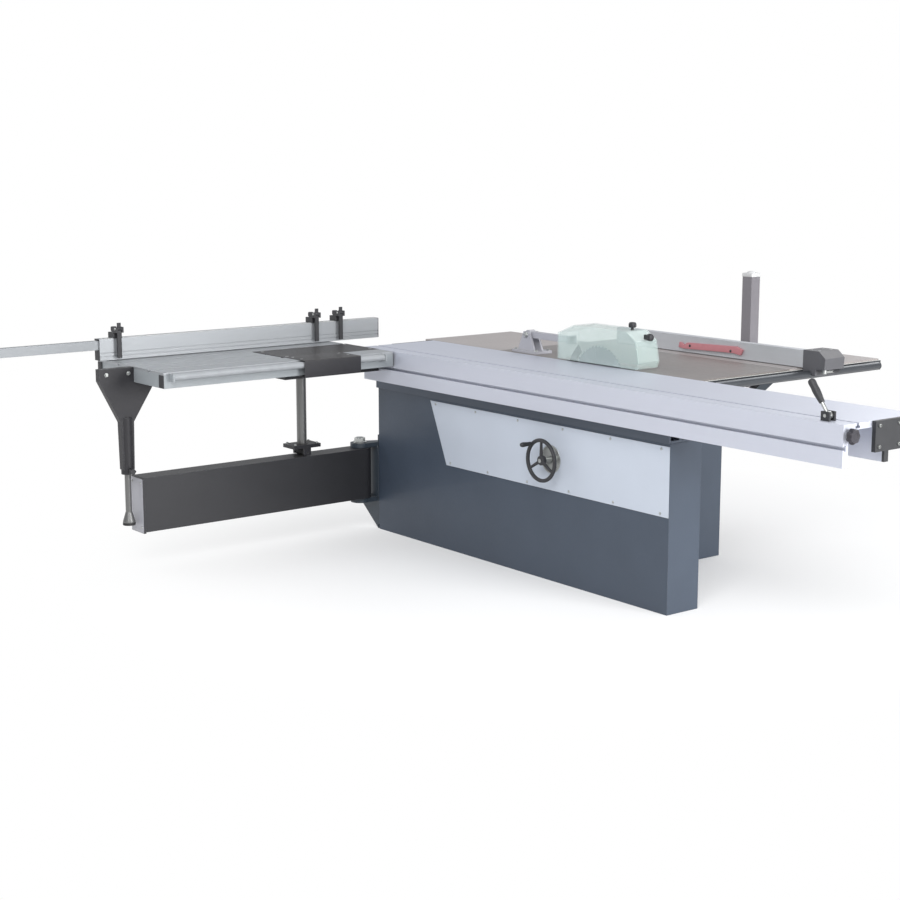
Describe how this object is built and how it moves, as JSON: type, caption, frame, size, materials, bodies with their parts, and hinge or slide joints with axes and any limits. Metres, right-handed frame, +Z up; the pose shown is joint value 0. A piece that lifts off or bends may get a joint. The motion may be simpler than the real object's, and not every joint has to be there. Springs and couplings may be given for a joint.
{
  "type": "sliding table saw",
  "caption": "Sliding table saw with a long aluminium carriage, a crosscut outrigger on a swing arm, a cast table with rip fence, and a blade that rises, tilts and spins.",
  "frame": {"origin": "on the floor under the middle of the base, in the plane it stands on", "axes": "+X along the slide to the operator end, +Y to the rip fence side, +Z up"},
  "size_m": [3.114, 3.329, 1.176],
  "materials": {
    "slate_paint": "satin powder coat",
    "silver_panel": "satin silver paint",
    "dark_paint": "satin dark grey paint",
    "grey_steel": "machined",
    "bright_steel": "ground",
    "anodised": "clear anodised",
    "light_alu": "clear anodised",
    "cast_top": "ground top",
    "sheet_top": "satin grey paint",
    "black_plastic": "moulded",
    "cap_plastic": "moulded",
    "clear_hood": "translucent",
    "red_plastic": "moulded",
    "green_plastic": "moulded",
    "stop_plastic": "moulded",
    "belt_rubber": "moulded",
    "motor_paint": "gloss paint"
  },
  "bodies": {
    "base": {"base_housing": "slate_paint", "front_panel": "silver_panel", "arm_bracket": "slate_paint", "guide_beam": "grey_steel", "cast_table": "cast_top", "throat_insert": "light_alu", "side_table": "sheet_top", "outfeed_table": "sheet_top", "table_struts": "slate_paint", "guide_bar": "dark_paint", "column": "dark_paint", "column_cap": "cap_plastic", "guard_stand": "dark_paint", "tilt_quadrants": "grey_steel", "control_box": "dark_paint"},
    "door": {"service_door": "slate_paint"},
    "start": {"start_button": "green_plastic"},
    "stop": {"stop_button": "stop_plastic"},
    "carriage": {"carriage": "anodised", "carriage_caps": "black_plastic", "crosscut_frame": "dark_paint", "crosscut_slats": "light_alu", "frame_clamp": "dark_paint", "table_post": "grey_steel", "outer_leg": "dark_paint"},
    "lever": {"carriage_lever": "black_plastic"},
    "knob": {"end_knob": "black_plastic"},
    "shuttle": {"shuttle": "grey_steel"},
    "load_roller": {"edge_roller": "grey_steel"},
    "fence": {"crosscut_fence": "light_alu", "stop_carriers": "black_plastic"},
    "extension": {"fence_extension": "light_alu"},
    "stop_a": {"flip_stop_a": "black_plastic"},
    "stop_b": {"flip_stop_b": "black_plastic"},
    "stop_c": {"flip_stop_c": "black_plastic"},
    "trolley": {"trolley": "dark_paint"},
    "trolley_roller": {"trolley_roller": "grey_steel"},
    "leg": {"leg_stem": "bright_steel"},
    "arm": {"swing_arm": "dark_paint"},
    "tilt": {"tilt_frame": "grey_steel"},
    "screw": {"lift_screw": "bright_steel"},
    "lift": {"lift_carriage": "grey_steel", "arbor_bearings": "bright_steel", "main_motor": "motor_paint", "drive_belt": "belt_rubber", "riving_knife": "bright_steel"},
    "blade": {"arbor": "bright_steel", "saw_blade": "bright_steel"},
    "motor": {"motor_pulley": "grey_steel"},
    "lift_wheel": {"lift_wheel": "black_plastic"},
    "tilt_wheel": {"tilt_wheel": "black_plastic"},
    "rip": {"rip_carrier": "dark_paint", "rip_profile": "anodised", "push_stick": "red_plastic"},
    "rip_lever": {"rip_lever": "black_plastic"},
    "guard": {"guard_arm": "grey_steel", "guard_hood": "clear_hood", "guard_knob": "black_plastic"}
  },
  "joints": [
    {"name": "carriage_slide", "type": "slide", "parent": "base", "child": "carriage", "axis": [1, 0, 0], "range_m": [-0.95, 0.95]},
    {"name": "shuttle_roll", "type": "slide", "parent": "base", "child": "shuttle", "axis": [1, 0, 0], "range_m": [-0.4755, 0.4755]},
    {"name": "arm_swing", "type": "hinge", "parent": "base", "child": "arm", "pos_m": [-0.985, -0.5, 0.268], "axis": [0, 0, 1], "range_deg": [-71.71, 71.71]},
    {"name": "trolley_turn", "type": "hinge", "parent": "carriage", "child": "trolley", "pos_m": [-0.985, -0.815, 0.43], "axis": [0, 0, 1], "range_deg": [-71.71, 71.71]},
    {"name": "trolley_roll", "type": "hinge", "parent": "trolley", "child": "trolley_roller", "pos_m": [-0.985, -0.815, 0.4004], "axis": [1, 0, 0], "continuous": true},
    {"name": "lever_turn", "type": "hinge", "parent": "carriage", "child": "lever", "pos_m": [1.69, -0.458, 0.868], "axis": [0, 1, 0], "range_deg": [-45, 60]},
    {"name": "knob_turn", "type": "hinge", "parent": "carriage", "child": "knob", "pos_m": [1.784, -0.466, 0.812], "axis": [1, 0, 0], "continuous": true},
    {"name": "load_roller_spin", "type": "hinge", "parent": "carriage", "child": "load_roller", "pos_m": [-0.702, -1.087, 0.832], "axis": [0, 1, 0], "continuous": true},
    {"name": "fence_swing", "type": "hinge", "parent": "carriage", "child": "fence", "pos_m": [-1.22, -0.6, 0.845], "axis": [0, 0, 1], "range_deg": [0, 45]},
    {"name": "extension_slide", "type": "slide", "parent": "fence", "child": "extension", "axis": [0, 1, 0], "range_m": [-0.25, 0.55]},
    {"name": "flip_a", "type": "hinge", "parent": "fence", "child": "stop_a", "pos_m": [-1.182, -0.597, 0.985], "axis": [0, -1, 0], "range_deg": [0, 110]},
    {"name": "flip_b", "type": "hinge", "parent": "fence", "child": "stop_b", "pos_m": [-1.182, -0.464, 0.985], "axis": [0, -1, 0], "range_deg": [0, 110]},
    {"name": "flip_c", "type": "hinge", "parent": "fence", "child": "stop_c", "pos_m": [-1.182, -1.597, 0.985], "axis": [0, -1, 0], "range_deg": [0, 110]},
    {"name": "leg_slide", "type": "slide", "parent": "carriage", "child": "leg", "axis": [0, 0, -1], "range_m": [0, 0.18]},
    {"name": "door_swing", "type": "hinge", "parent": "base", "child": "door", "pos_m": [-0.352, 0.438, 0.35], "axis": [0, 0, 1], "range_deg": [0, 95]},
    {"name": "start_press", "type": "slide", "parent": "base", "child": "start", "axis": [-1, 0, 0], "range_m": [0, 0.003], "stiffness_N_per_m": 600},
    {"name": "stop_press", "type": "slide", "parent": "base", "child": "stop", "axis": [-1, 0, 0], "range_m": [0, 0.003], "stiffness_N_per_m": 600},
    {"name": "tilt_wheel_turn", "type": "hinge", "parent": "base", "child": "tilt_wheel", "pos_m": [0.39, -0.1, 0.48], "axis": [1, 0, 0], "range_deg": [0, 3602]},
    {"name": "lift_wheel_turn", "type": "hinge", "parent": "base", "child": "lift_wheel", "pos_m": [0.265, -0.43, 0.505], "axis": [0, -1, 0], "range_deg": [-1532, 0]},
    {"name": "blade_tilt", "type": "hinge", "parent": "base", "child": "tilt", "pos_m": [0, -0.083, 0.85], "axis": [-1, 0, 0], "range_deg": [0, 45]},
    {"name": "blade_lift", "type": "slide", "parent": "tilt", "child": "lift", "axis": [0, 0, 1], "range_m": [-0.085, 0]},
    {"name": "screw_turn", "type": "hinge", "parent": "tilt", "child": "screw", "pos_m": [0.308, -0.023, 0.66], "axis": [0, 0, 1], "range_deg": [-1532, 0]},
    {"name": "blade_spin", "type": "hinge", "parent": "lift", "child": "blade", "pos_m": [0.165, -0.083, 0.7725], "axis": [0, 1, 0], "continuous": true},
    {"name": "motor_spin", "type": "hinge", "parent": "lift", "child": "motor", "pos_m": [0.165, 0.051, 0.58], "axis": [0, 1, 0], "continuous": true},
    {"name": "rip_slide", "type": "slide", "parent": "base", "child": "rip", "axis": [0, 1, 0], "range_m": [-0.46, 0.32]},
    {"name": "rip_lever_turn", "type": "hinge", "parent": "rip", "child": "rip_lever", "pos_m": [0.862, 0.512, 0.845], "axis": [0, 0, -1], "range_deg": [0, 60]},
    {"name": "guard_lift", "type": "hinge", "parent": "base", "child": "guard", "pos_m": [-0.33, -0.035, 0.93], "axis": [0, -1, 0], "range_deg": [0, 50]}
  ],
  "couplings": [
    {"joint": "shuttle_roll", "follows": "carriage_slide", "ratio": 0.5},
    {"joint": "arm_swing", "follows": "carriage_slide", "rad_per_m": 1.3164},
    {"joint": "trolley_turn", "follows": "carriage_slide", "rad_per_m": 1.3164},
    {"joint": "tilt_wheel_turn", "follows": "blade_tilt", "ratio": 80},
    {"joint": "lift_wheel_turn", "follows": "blade_lift", "rad_per_m": 314.16},
    {"joint": "screw_turn", "follows": "blade_lift", "rad_per_m": 314.16},
    {"joint": "motor_spin", "follows": "blade_spin", "ratio": 0.75556}
  ]
}
